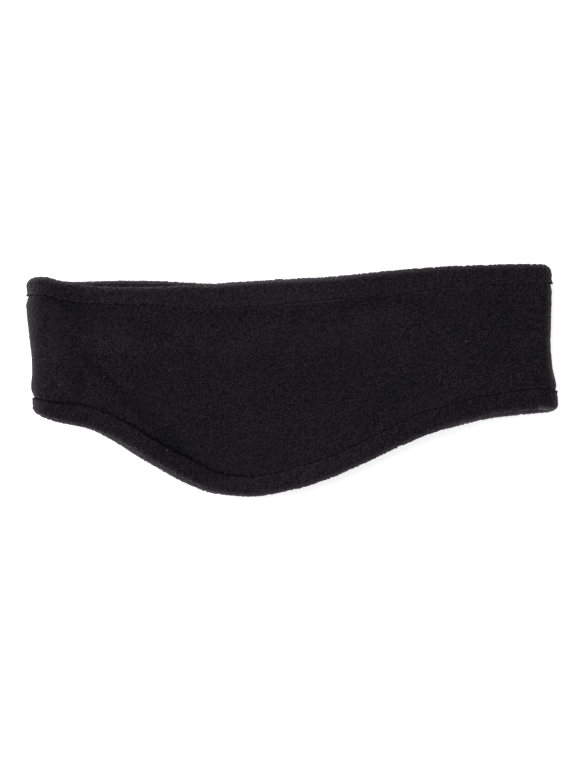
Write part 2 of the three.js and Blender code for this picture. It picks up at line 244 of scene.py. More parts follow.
# The stitches.
STITCH_PITCH = 2.9
STITCH_LENGTH = 2.3
THREAD_RADIUS = 0.19
THREAD_PAST = 0.15  # how far past the binding's edge the thread lies
THREAD_RISE = 0.2  # height of a stitch's middle over the panel
THREAD_DIVE = 0.45  # how much lower its ends are, in their holes
THREAD_TAPER = 0.92  # how much of its section is gone there
STITCH_WANDER = 0.28  # how far the line of stitches wanders to either side
STITCH_WANDER_RUN = 5.0  # distance in which it wanders from one side to the other
HOLE_DENT = 0.45  # how far a stitch draws the panel in at its hole
PANEL_HOLE_RUN = 1.7  # how far round a hole the panel is drawn in
PANEL_HOLE_START = 0.06  # how far past the stitch line that begins
BINDING_HOLE_SHARE = 0.8  # how much of that a binding is drawn in
BINDING_HOLE_RUN = 1.5  # how far round a hole

# How finely the cloth is cut round the loop, in steps: nape fold, upper layer, forehead fold, lower layer.
PANEL_STEPS = (38, 488, 38, 118)
BINDING_STEPS = (56, 720, 56, 420)
# Rows of the panel beside a stitch line, by how far past it they lie, on the loop's outer and inner face,
# and the number of even rows between the two stitch lines.
OUTER_ROWS_NEAR = np.array([-7.0, -4.0, -1.0, 0.0, 0.05, 0.15, 0.35, 0.6, 0.95, 1.4, 2.0, 2.7])
INNER_ROWS_NEAR = np.array([-7.0, -1.6, 0.0, 1.0, 3.2])
OUTER_ROWS_BETWEEN = 90
INNER_ROWS_BETWEEN = 18
# Points once round a binding's section.
ARC_POINTS = 40  # on each of the two arcs that its face is measured from
INNER_FACE_POINTS = 20
OUTER_FACE_POINTS = 38
SLOT_POINTS = 4
# Points along a stitch line for measuring it, and the rings and sides of one stitch.
LINE_POINTS = 6001
STITCH_RINGS, STITCH_SIDES = 7, 6

# Each noise starts from a number of its own, so that it comes out the same every time.
NUB_SEED, SMALL_NUB_SEED, NUB_DRIFT_SEED = 3, 9, 20
LUMP_SEED, GROOVE_SHADE_SEED = 31, 41
WANDER_SEEDS = dict(crown=51, ear=53)
# Large numbers that scramble a cell's place, and the bits of the outcome that are used.
SCRAMBLE_X, SCRAMBLE_Y, SCRAMBLE_Z = np.uint64(374761393), np.uint64(668265263), np.uint64(2246822519)
SCRAMBLE_FIRST, SCRAMBLE_LAST = np.uint64(2654435761), np.uint64(1274126177)
SCRAMBLE_SEED = 3266489917
LOW_BITS = 0xFFFFFF

TURN_STEP = 1e-3  # a small step round the loop or up the band, for finding a direction
NEARLY_NOTHING = 1e-9


def mix(a, b, t):
    return a + (b - a) * t


def ease(value, start, end):
    t = np.clip((value - start) / (end - start), 0, 1)
    return t * t * (3 - 2 * t)


def share_along(points):
    """How far along the band points lie, from 0 at the nape to 1 at the forehead."""
    return (points[..., 0] - LOW[0]) / FOLDED_LENGTH


def look_up(table, names, column, at):
    """The value of one column of a table at places between its rows, on a smooth curve through them."""
    rows = np.array(table)
    xs, ys = rows[:, 0], rows[:, names.index(column)]
    before = np.maximum(np.arange(len(xs)) - 1, 0)
    after = np.minimum(np.arange(len(xs)) + 1, len(xs) - 1)
    slopes = (ys[after] - ys[before]) / (xs[after] - xs[before])
    x = np.clip(at, xs[0], xs[-1])
    i = np.clip(np.searchsorted(xs, x) - 1, 0, len(xs) - 2)
    run = xs[i + 1] - xs[i]
    t = (x - xs[i]) / run
    return (
        (2 * t**3 - 3 * t**2 + 1) * ys[i]
        + (t**3 - 2 * t**2 + t) * run * slopes[i]
        + (3 * t**2 - 2 * t**3) * ys[i + 1]
        + (t**3 - t**2) * run * slopes[i + 1]
    )


def lattice(cells, seed):
    """A value from 0 to 1 for each whole-numbered cell: it looks random, and is the same every time."""
    c = cells.astype(np.int64).astype(np.uint64)
    h = c[..., 0] * SCRAMBLE_X + c[..., 1] * SCRAMBLE_Y
    h += c[..., 2] * SCRAMBLE_Z + np.uint64(seed * SCRAMBLE_SEED)
    h = (h ^ (h >> np.uint64(15))) * SCRAMBLE_FIRST
    h = (h ^ (h >> np.uint64(13))) * SCRAMBLE_LAST
    h = h ^ (h >> np.uint64(16))
    return (h & np.uint64(LOW_BITS)).astype(float) / LOW_BITS


def soft_noise(points, size, seed):
    """Smooth noise from -1 to 1 with features about size across."""
    p = points / size
    base = np.floor(p)
    t = p - base
    t = t * t * (3 - 2 * t)
    total = 0
    for corner in np.ndindex(2, 2, 2):
        step = np.array(corner)
        weight = np.prod(np.where(step, t, 1 - t), axis=-1)
        total = total + weight * lattice(base + step, seed)
    return total * 2 - 1


def nubs(points, size, seed):
    """Rounded nubs about size across, from 0 in the gaps between them to 1 on top."""
    p = points / size
    base = np.floor(p)
    nearest = np.full(p.shape[:-1], np.inf)
    for corner in np.ndindex(3, 3, 3):
        cell = base + np.array(corner) - 1
        spot = np.stack([lattice(cell, seed + k) for k in range(3)], axis=-1)
        nearest = np.minimum(nearest, ((cell + spot - p) ** 2).sum(-1))
    return np.clip(1 - nearest / NUB_REACH, 0, 1)


def pile_height(points):
    """The height of the pile at points of the cloth, from 0 in its gaps to about 1."""
    drift = [soft_noise(points, NUB_DRIFT_SIZE, NUB_DRIFT_SEED + k) for k in range(3)]
    moved = points + NUB_DRIFT * np.stack(drift, axis=-1)
    big = nubs(moved, NUB_SIZE, NUB_SEED)
    small = nubs(moved + SMALL_NUB_SHIFT, SMALL_NUB_SIZE, SMALL_NUB_SEED)
    return (NUB_HEIGHT * big + SMALL_NUB_HEIGHT * small) / (NUB_HEIGHT + SMALL_NUB_HEIGHT)


def edges(along, upper):
    """The band's crown and ear edge at a share of its length. upper is 1 on the upper layer and 0 on the
    lower one."""
    lap = LAYER_LAP * (1 - upper)
    crown = CROWN_RISE * look_up(OUTLINE, OUTLINE_COLUMNS, "crown", along)
    ear = NAPE_WIDTH + EAR_DROP * look_up(OUTLINE, OUTLINE_COLUMNS, "ear", along)
    crown += lap * look_up(OUTLINE, OUTLINE_COLUMNS, "crown_lap", along)
    ear += lap * look_up(OUTLINE, OUTLINE_COLUMNS, "ear_lap", along)
    return crown, -ear


def fold_inset(end, up, from_edge):
    """How far the middle of the cloth stays in from one end of the band."""
    thinned = ease(from_edge, BINDING_WIDTH - STEP_RUN / 2, BINDING_WIDTH + STEP_RUN / 2)
    sway = FOLD_SWAY * look_up(FOLD_LINES, FOLD_COLUMNS, end, up)
    return sway + mix(BINDING_HALF, PANEL_HALF, thinned)


def dented(column, along, up, height):
    """The sum of one column of the dents, each fading away from its middle."""
    total = 0
    for dent in DENTS:
        dx = (along - dent["along"]) * FOLDED_LENGTH
        dy = (up - dent["up"]) * height
        heading = math.radians(dent["heading"])
        down = (dx * math.cos(heading) + dy * math.sin(heading)) / (dent["long"] * FOLDED_LENGTH)
        side = (dy * math.cos(heading) - dx * math.sin(heading)) / (dent["wide"] * FOLDED_LENGTH)
        total = total + dent[column] * np.exp(-down * down - side * side)
    return total


def middle(turn, up):
    """Points on the middle of the cloth. turn goes round the loop in four legs: 0 to 1 up round the nape
    fold, 1 to 2 along the upper layer, 2 to 3 down round the forehead fold, 3 to 4 back along the lower
    layer. up is the share of the way from the ear edge to the crown edge."""
    turn, up = np.broadcast_arrays(np.mod(turn, 4), up)
    leg = np.floor(turn).astype(int) % 4
    part = turn - np.floor(turn)
    swing = math.pi * np.where(leg == 2, 0.5 - part, part - 0.5)
    upper = np.choose(leg, [(1 + np.sin(swing)) / 2, 1, (1 + np.sin(swing)) / 2, 0])
    crown, ear = edges(np.choose(leg, [0, part, 1, 1 - part]), upper)
    from_edge = np.minimum(up, 1 - up) * (crown - ear)
    nape = fold_inset("nape", up, from_edge)
    forehead = FOLDED_LENGTH - fold_inset("forehead", up, from_edge)
    reach = FOLD_RADIUS * np.where(leg == 2, 1 - np.cos(swing) ** FOREHEAD_SQUARE, 1 - np.cos(swing))
    low, high = nape + FOLD_RADIUS, forehead - FOLD_RADIUS
    x = np.choose(leg, [nape + reach, mix(low, high, part), forehead - reach, mix(high, low, part)])
    along = (x - nape) / (forehead - nape)
    crown, ear = edges(along, upper)
    rounded = np.choose(leg, [1, 0, 1, 0]) * np.cos(swing) ** CORNER_SHARPNESS
    crown, ear = crown - CROWN_CORNER * rounded, ear + EAR_CORNER * rounded
    height = crown - ear
    from_stitches = np.minimum(up, 1 - up) * height - BINDING_WIDTH
    sagging = ease(from_stitches, 0, SAG_RUN)
    dip = MIDDLE_DIP * ease(along, DIP_START, DIP_END) * ease(1 - along, DIP_START, DIP_END)
    free = ease(from_stitches, -BINDING_WIDTH / 2, BINDING_WIDTH / 2)
    dent = 2 * PANEL_HALF * dented("deep", along, up, height)
    sunk = mix(LOWER_SAG, UPPER_SAG, upper) * sagging + upper * free * dent
    z = BINDING_HALF + 2 * FOLD_RADIUS * upper - dip * upper - sunk
    return np.stack([x + LOW[0], mix(ear, crown, up) + HIGH[1] - CROWN_RISE, z], axis=-1)


def on_cloth(turn, up, distance):
    """Points at a distance from the middle of the cloth, more than 0 on the loop's outer face."""
    around = middle(turn + TURN_STEP, up) - middle(turn - TURN_STEP, up)
    upwards = middle(turn, np.minimum(up + TURN_STEP, 1)) - middle(turn, np.maximum(up - TURN_STEP, 0))
    outwards = np.cross(around, upwards)
    outwards /= np.linalg.norm(outwards, axis=-1, keepdims=True)
    return middle(turn, up) + outwards * np.asarray(distance)[..., None]


def stations(steps):
    """The places round the loop where the cloth is cut, for a number of steps in each leg."""
    return np.concatenate([leg + np.arange(count) / count for leg, count in enumerate(steps)])


def section_size(turn):
    """The band's height at each station, and how much longer than its width a binding measures straight
    down there, at the crown edge and at the ear edge, because the edge slopes."""
    height = (middle(turn, 1.0) - middle(turn, 0.0))[..., 1]
    rises = []
    for up in (1.0, 0.0):
        run = middle(turn + TURN_STEP, up) - middle(turn - TURN_STEP, up)
        rises.append(np.linalg.norm(run, axis=-1) / np.hypot(run[..., 0], run[..., 2]))
    return height, *rises


def binding_width(edge, turn):
    """The distance from the band's edge to the stitch line beside its binding, which wanders a little."""
    spine = middle(turn, 0.5)
    wander = STITCH_WANDER * soft_noise(spine, STITCH_WANDER_RUN, WANDER_SEEDS[edge])
    return BINDING_WIDTH * look_up(OUTLINE, OUTLINE_COLUMNS, f"{edge}_width", share_along(spine)) + wander


class StitchLine:
    """The line of stitches beside a binding: its length, and where its stitches are."""

    def __init__(self, edge):
        self.edge = edge
        self.turns = np.linspace(0, 4, LINE_POINTS)
        path = middle(self.turns, self.up(self.turns, binding_width(edge, self.turns)))
        steps = np.linalg.norm(np.diff(path, axis=0), axis=-1)
        self.lengths = np.concatenate([[0], np.cumsum(steps)])
        self.count = round(self.lengths[-1] / STITCH_PITCH)
        self.pitch = self.lengths[-1] / self.count

    def up(self, turn, from_edge):
        """The share of the way up the band at a distance in from this line's edge of it."""
        height, crown_rise, ear_rise = section_size(turn)
        if self.edge == "crown":
            return 1 - from_edge * crown_rise / height
        return from_edge * ear_rise / height

    def pull(self, turn):
        """1 at a stitch's hole, and 0 half way along a stitch."""
        along = np.interp(turn, self.turns, self.lengths)
        return (0.5 + 0.5 * np.cos(2 * math.pi * along / self.pitch)) ** 2

    def turn_at(self, length):
        """The place round the loop at a length along the line."""
        return np.interp(np.mod(length, self.lengths[-1]), self.lengths, self.turns)


STITCH_LINES = {edge: StitchLine(edge) for edge in ("crown", "ear")}


def normals_of(grid):
    """Outward directions on a tube of cloth, whose grid closes on itself both ways."""
    around = np.roll(grid, -1, 0) - np.roll(grid, 1, 0)
    across = np.roll(grid, -1, 1) - np.roll(grid, 1, 1)
    normal = np.cross(around, across)
    return normal / np.maximum(np.linalg.norm(normal, axis=-1, keepdims=True), NEARLY_NOTHING)


def with_pile(grid, amount):
    """The grid raised by its pile, where amount is 1, and the height of the pile as a share."""
    height = pile_height(grid)
    lump = soft_noise(grid, LUMP_SIZE, LUMP_SEED)
    rise = (NUB_HEIGHT + SMALL_NUB_HEIGHT) * (height - 0.5) + LUMP_HEIGHT * lump
    made = grid + normals_of(grid) * (rise * amount)[..., None]
    made[..., 2] = np.maximum(made[..., 2], FLOOR_CLEARANCE)
    return made, height


def cloth_object(name, grid, pile, painted_rim_light, sewn_shaded, materials):
    """A closed tube of cloth from its grid of points: rings of points, the rings going round the loop.
    The mask marks the points of a ring whose pile is sewn flat: the faces between them get the second
    material, which has no sheen and darker colours, as painted shade in the groove. The pile attribute
    carries the pile's height with painted shade and painted light added in; the second attribute is
    painted rim light."""
    mesh = bpy.data.meshes.new(name)
    mesh.from_pydata((grid.reshape(-1, 3) * MM).tolist(), [], tube_faces(*pile.shape).tolist())
    mesh.polygons.foreach_set("use_smooth", np.ones(len(mesh.polygons), bool))
    # Faces between marked points get the second material, whose darker colours are painted shade in the
    # groove.
    sewn_shaded_faces = sewn_shaded & np.roll(sewn_shaded, -1)
    mesh.polygons.foreach_set("material_index", np.tile(sewn_shaded_faces.astype(np.int32), len(grid)))
    for attribute, values in (("pile", pile), ("painted_rim_light", painted_rim_light)):
        mesh.attributes.new(attribute, "FLOAT", "POINT").data.foreach_set("value", values.ravel())
    for material in materials:
        mesh.materials.append(material)
    mesh.update()
    made = bpy.data.objects.new(name, mesh)
    bpy.context.scene.collection.objects.link(made)
    return made


def edge_table_at(column, turn):
    """A column of the edges' table at places round the loop."""
    return look_up(EDGE_TABLE, EDGE_TABLE_COLUMNS, column, share_along(middle(turn, 0.5)))


def painted_fold_light(grid):
    """Painted light near the nape fold: a wide pale glow put into the colour of its rounded end."""
    return FOLD_LIGHT_STRENGTH * np.exp(-(((grid[..., 0] - LOW[0]) / FOLD_LIGHT_REACH) ** 2))


def painted_fold_shade(grid):
    """Painted shade near the forehead fold, darkening its colour."""
    return FOLD_SHADE_STRENGTH * np.exp(-(((HIGH[0] - grid[..., 0]) / FOLD_SHADE_REACH) ** 2))


def painted_groove_shade(grid, strength, pulls, distance, run):
    """Painted shade in the groove, at a distance from the stitch line: most at the holes, and unevenly.
    Where strength is less than 0 it is painted light instead, the same all along the line."""
    patches = GROOVE_SHADE_USUAL + GROOVE_SHADE_USUAL * soft_noise(grid, GROOVE_SHADE_PATCH, GROOVE_SHADE_SEED)
    uneven = patches * (GROOVE_SHADE_BETWEEN + GROOVE_SHADE_AT_HOLE * pulls)
    return strength * np.where(strength > 0, uneven, 1) * np.exp(-((distance / run) ** 2))


def tube_faces(rings, count):
    """Four-sided faces of a tube of cloth with that many rings of count points each, closed both ways."""
    ring, spot = np.meshgrid(np.arange(rings), np.arange(count), indexing="ij")
    after, beside = (ring + 1) % rings, (spot + 1) % count
    corners = [ring * count + spot, after * count + spot, after * count + beside, ring * count + beside]
    return np.stack(corners, axis=-1).reshape(-1, 4)


def closed_groove(groove, pulls):
    """How far the cloth on both sides closes over the groove, from 0 to 1: where the groove's value, which
    also sets its painted shade, is low, and more between the stitches' holes than at them."""
    return GROOVE_CLOSING * np.clip(CLOSED_BETWEEN * (1 - pulls) - groove, 0, 1)


def panel_half(past, closed):
    """Half the panel's thickness, at a distance past the stitch line: squeezed in a binding, pinched at the
    stitches, swelling beside them."""
    squeezed = mix(ENCLOSED_HALF, STITCHED_HALF, ease(past, PANEL_INSET - BINDING_WIDTH, 0))
    full = PANEL_HALF + PUFF * (1 - ease(past, PUFF_RISE, PUFF_FALL))
    shoulder = np.sqrt(1 - (1 - np.clip(past / (PUFF_RISE * (1 - closed)), 0, 1)) ** 2)
    return np.where(past > 0, mix(squeezed, full, shoulder), squeezed)


def make_panel(*materials):
    """The main strip of fleece, a flat tube whose two cut edges lie inside the bindings."""
    turn = stations(PANEL_STEPS)[:, None]
    height, crown_rise, ear_rise = section_size(turn)
    crown_width, ear_width = binding_width("crown", turn), binding_width("ear", turn)

    def side(near, rows):
        low = np.maximum(ear_width + near, PANEL_INSET) * ear_rise / height
        high = 1 - np.maximum(crown_width + near, PANEL_INSET) * crown_rise / height
        share = (np.arange(rows) + 1) / (rows + 1)
        spread = mix(low[:, -1:], high[:, -1:], share)
        up = np.concatenate([low, spread, high[:, ::-1]], axis=1)
        past = np.minimum(up * height / ear_rise - ear_width, (1 - up) * height / crown_rise - crown_width)
        return up, past

    up_out, past_out = side(OUTER_ROWS_NEAR, OUTER_ROWS_BETWEEN)
    up_in, past_in = side(INNER_ROWS_NEAR, INNER_ROWS_BETWEEN)
    up = np.concatenate([up_out, up_in[:, ::-1]], axis=1)
    past = np.concatenate([past_out, past_in[:, ::-1]], axis=1)
    outward = np.where(np.arange(up.shape[1]) < up_out.shape[1], 1, -1)
    nearer_crown = up > 0.5
    groove = np.where(nearer_crown, edge_table_at("crown_groove", turn), edge_table_at("ear_groove", turn))
    pulls = np.where(nearer_crown, STITCH_LINES["crown"].pull(turn), STITCH_LINES["ear"].pull(turn))
    half = panel_half(past, closed_groove(groove, pulls))

    # The stitches draw the cloth in at their holes.
    drawn_in = np.exp(-((past / PANEL_HOLE_RUN) ** 2)) * (past > PANEL_HOLE_START)
    half = half - HOLE_DENT * pulls * drawn_in

    # The seam that closes the loop runs up the middle of the nape fold.
    across_seam = (turn - 0.5) * math.pi * FOLD_RADIUS
    in_seam = np.exp(-((across_seam / SEAM_WIDTH) ** 2)) * (turn < 1)
    half = half - SEAM_DEPTH * in_seam * ease(past, 0, OPEN_RUN)

    grid = on_cloth(np.broadcast_to(turn, up.shape), up, outward * half)
    grid, pile = with_pile(grid, PANEL_PILE * ease(past, 0, PANEL_PILE_RUN))
    # Painted shade in the groove beside the stitches, painted light where its strength is below 0, and
    # painted shade at the forehead fold.
    pile = pile - painted_groove_shade(grid, groove, pulls, np.maximum(past, 0), PANEL_GROOVE_SHADE_RUN)
    pile = pile - painted_fold_shade(grid)

    # Painted shade in the dents and painted light on the swells, from the middle of one fold to the middle
    # of the other.
    painted_dent_shading = dented("painted_shading", share_along(middle(turn, up)), up, height)
    pile = pile + painted_dent_shading * ((turn > 0.5) & (turn < 2.5))
    # Faces next to the stitch line get the sewn-flat material: no sheen, and darker colours that are painted
    # shade in the groove.
    sewn_shaded = past.max(0) < PANEL_FLAT_RUN
    # The panel gets painted light near the nape fold as well.
    return cloth_object("fleece_band_cloth", grid, pile, painted_fold_light(grid), sewn_shaded, materials)


def binding_profile():
    """A binding's section, once round: its distance in from the band's edge and from the middle of the
    cloth, and how much pile it carries."""
    lip = STITCHED_HALF + CLEARANCE + LIP_THICKNESS

    # One face rolls over at the outer edge and falls into the groove at the stitches.
    a = np.linspace(0, math.pi / 2, ARC_POINTS)
    roll = np.stack([ROLL_RADIUS * (1 - np.cos(a)), BINDING_HALF * np.sin(a)], axis=-1)
    fall = [BINDING_WIDTH - SHOULDER_WIDTH * (1 - np.sin(a)), lip + (BINDING_HALF - lip) * np.cos(a)]
    face = np.concatenate([roll, np.stack(fall, axis=-1)])

    # Both faces, with their points spread evenly, more of them on the outer one.
    whole = np.concatenate([face[:0:-1] * (1, -1), face])
    length = np.concatenate([[0], np.cumsum(np.linalg.norm(np.diff(whole, axis=0), axis=-1))])
    half_way = length[-1] / 2
    inner_face = np.linspace(0, half_way, INNER_FACE_POINTS)[:-1]
    places = np.concatenate([inner_face, np.linspace(half_way, length[-1], OUTER_FACE_POINTS)])
    outline = np.stack([np.interp(places, length, whole[:, k]) for k in range(2)], axis=-1)

    # The slot that the panel lies in.
    inner = np.linspace(BINDING_WIDTH, PANEL_INSET - CLEARANCE, SLOT_POINTS)
    slot_half = mix(STITCHED_HALF, ENCLOSED_HALF, (BINDING_WIDTH - inner) / BINDING_WIDTH) + CLEARANCE
    slot = np.stack([inner, slot_half], axis=-1)
    section = np.concatenate([outline, slot, slot[::-1] * (1, -1)])

    lost = BINDING_PILE_LOSS * ease(outline[:, 0], BINDING_WIDTH - BINDING_PILE_RUN, BINDING_WIDTH)
    pile = np.concatenate([1 - lost, np.zeros(len(slot) * 2)])
    return section[:, 0], section[:, 1], pile


def make_binding(edge, *materials):
    """A strip of fleece folded over one edge of the panel and sewn through."""
    from_edge, distance, amount = binding_profile()
    turn = stations(BINDING_STEPS)[:, None]
    line = STITCH_LINES[edge]
    stretch = (binding_width(edge, turn) - PANEL_INSET) / (BINDING_WIDTH - PANEL_INSET)
    placed = np.where(from_edge > PANEL_INSET, PANEL_INSET + (from_edge - PANEL_INSET) * stretch, from_edge)
    groove, pulls = edge_table_at(f"{edge}_groove", turn), line.pull(turn)

    # Where the groove is closed, the cloth leans over it and ends at the stitches as before.
    to_stitches = BINDING_WIDTH - from_edge
    leaning = ease(-to_stitches, -CLOSING_REACH * SHOULDER_WIDTH, -SHOULDER_WIDTH)
    pushed = np.minimum(leaning, to_stitches / SHOULDER_WIDTH)
    placed = placed + closed_groove(groove, pulls) * SHOULDER_WIDTH * np.where(amount > 0, pushed, 0)
    up = line.up(turn, placed)
    near_stitches = np.exp(-((to_stitches / BINDING_HOLE_RUN) ** 2)) * (amount > 0)
    distance = distance - np.sign(distance) * HOLE_DENT * BINDING_HOLE_SHARE * near_stitches * pulls
    # On a binding, the last of the shoulder gets the sewn-flat material: no sheen, and darker colours that
    # are painted shade in the groove.
    sewn_shaded = to_stitches < BINDING_FLAT_SHARE * SHOULDER_WIDTH
    if edge == "crown":
        up, distance, amount, sewn_shaded = up[:, ::-1], distance[:, ::-1], amount[::-1], sewn_shaded[::-1]
        from_edge, to_stitches = from_edge[::-1], to_stitches[::-1]
    grid = on_cloth(np.broadcast_to(turn, up.shape), up, distance)
    grid, pile = with_pile(grid, np.broadcast_to(BINDING_PILE * amount, up.shape))
    # Painted shade in the groove beside the stitches, painted light where its strength is below 0, painted
    # shade at the forehead fold, and the binding's tone.
    pile = pile - painted_groove_shade(grid, groove, pulls, to_stitches, BINDING_GROOVE_SHADE_RUN) - painted_fold_shade(grid)
    pile = pile + edge_table_at(f"{edge}_tone", turn)

    # Painted rim light on the outermost edge, least where the other layer lies just beyond it, and painted
    # light near the nape fold.
    lap = look_up(OUTLINE, OUTLINE_COLUMNS, f"{edge}_lap", share_along(middle(turn, 0.5)))
    backed = BACKED_SHARE * ease(lap, 0, BACKED_LAP) * ((turn >= 1) & (turn < 2))
    painted_rim_light = edge_table_at(f"{edge}_brushed", turn) * (1 - backed) * np.exp(-((from_edge / RIM_LIGHT_REACH) ** 2))
    painted_rim_light = np.maximum(painted_rim_light, painted_fold_light(grid))
    return cloth_object(f"{edge}_binding_cloth", grid, pile, painted_rim_light, sewn_shaded, materials)


def make_stitches(edge, material):
    """Black thread in the groove beside a binding, on the band's outer and inner face."""
    line = STITCH_LINES[edge]
    rings, sides = STITCH_RINGS, STITCH_SIDES
    share = np.linspace(-1, 1, rings)
    starts = (np.arange(line.count) + 0.5) * line.pitch
    turn = line.turn_at(starts[:, None] + share * STITCH_LENGTH / 2)
    up = line.up(turn, binding_width(edge, turn) + THREAD_PAST)
    radius = THREAD_RADIUS * np.sqrt(1 - THREAD_TAPER * share**4)
    angle = np.arange(sides) * 2 * math.pi / sides
    parts = []
    for face in (1, -1):
        rise = STITCHED_HALF + THREAD_RISE - THREAD_DIVE * share**4
        spine = on_cloth(turn, up, face * np.broadcast_to(rise, turn.shape))
        out = on_cloth(turn, up, face * (np.broadcast_to(rise, turn.shape) + 1)) - spine
        ahead = np.gradient(spine, axis=1)
        ahead /= np.linalg.norm(ahead, axis=-1, keepdims=True)
        beside = np.cross(ahead, out)
        around = out[:, :, None] * np.cos(angle)[:, None] + beside[:, :, None] * np.sin(angle)[:, None]
        parts.append(spine[:, :, None] + around * radius[:, None, None])
    points = np.concatenate(parts)
    ring, spot = np.meshgrid(np.arange(rings - 1), np.arange(sides), indexing="ij")
    beside = (spot + 1) % sides
    low, high = ring * sides, (ring + 1) * sides
    wall = np.stack([low + spot, low + beside, high + beside, high + spot], axis=-1).reshape(-1, 4)
    start = np.arange(sides)[::-1]
    caps = [start.tolist(), ((rings - 1) * sides + start[::-1]).tolist()]
    one = wall.tolist() + caps
    faces = [[v + k * rings * sides for v in face] for k in range(len(points)) for face in one]
    mesh = bpy.data.meshes.new(f"{edge}_stitches")
    mesh.from_pydata((points.reshape(-1, 3) * MM).tolist(), [], faces)
    mesh.polygons.foreach_set("use_smooth", np.ones(len(mesh.polygons), bool))
    mesh.materials.append(material)
    made = bpy.data.objects.new(mesh.name, mesh)
    bpy.context.scene.collection.objects.link(made)
    return made


# The fleece's own pattern, in millimetres.
FIBRE_SIZE = 0.5  # matted fibres: single ones are too fine to show, so they are drawn as coarse as this
CURL_SIZE = 0.8  # finer curls on the nubs
CLUMP_SIZE = 16.0  # patches a little paler or darker than the rest
FLECK_SPACING = 9.0  # no more than one stray pale fibre in each cell of this size
BUMP_HEIGHT = 0.25  # how high the matted fibres stand
# Shares in it.
FIBRE_WEIGHT, PILE_WEIGHT = 1.6, 0.26  # what the fibres and the pile's height add to the shade of a place
DARKEST, PALEST = 0.88, 1.76  # the sums that give the colours of the gaps and of the tips
CURL_TOP, CURL_FOOT = 0.15, 0.85  # from the middle of a curl out to its foot
CLUMP_DARK, CLUMP_PALE = 0.9, 1.1
FLECK_MIDDLE, FLECK_END = 0.02, 0.045  # where a stray fibre is fully pale and where it ends, in its cells
FLECK_STRETCH = (3.2, 1.0, 1.0)  # how much longer than wide it is
FLECK_TURN = (0.3, 0.5, 0.9)  # radians, so that the strays lie askew
# Colours that all the fleece has in common.
RIM_LIGHT_COLOUR = "#565156"  # painted rim light: the fibres' pale sides, where light catches them from the side
STRAY_FIBRE = "#3d3a3e"
BLOOM_TINT = "#e6dad6"

TWIST_SIZE = 0.25  # turns of the thread's ply, in millimetres
CLOUD_SIZE = 60.0  # soft clouds in the acrylic, in millimetres


def linear(hex_colour):
    """An sRGB hex colour as the linear values that a shader takes."""
    values = [int(hex_colour[i : i + 2], 16) / 255 for i in (1, 3, 5)]
    return (*[v / 12.92 if v <= 0.04045 else ((v + 0.055) / 1.055) ** 2.4 for v in values], 1.0)


def new_material(name):
    material = bpy.data.materials.new(name)
    material.use_nodes = True
    shader = material.node_tree.nodes["Principled BSDF"]
    return material, material.node_tree, shader


def add(tree, kind, links=(), **settings):
    """A new node. settings are its properties, or its input sockets by name. links are pairs of an input
    and the output socket that feeds it. A Mix node has several sets of sockets with the same names, so its
    colours go by number: 6 and 7 in, 2 out."""
    node = tree.nodes.new(kind)
    for name, value in settings.items():
        socket = name.replace("_", " ").title()
        if hasattr(node, name):
            setattr(node, name, value)
        else:
            node.inputs[socket].default_value = value
    for target, source in links:
        tree.links.new(source, node.inputs[target])
    return node


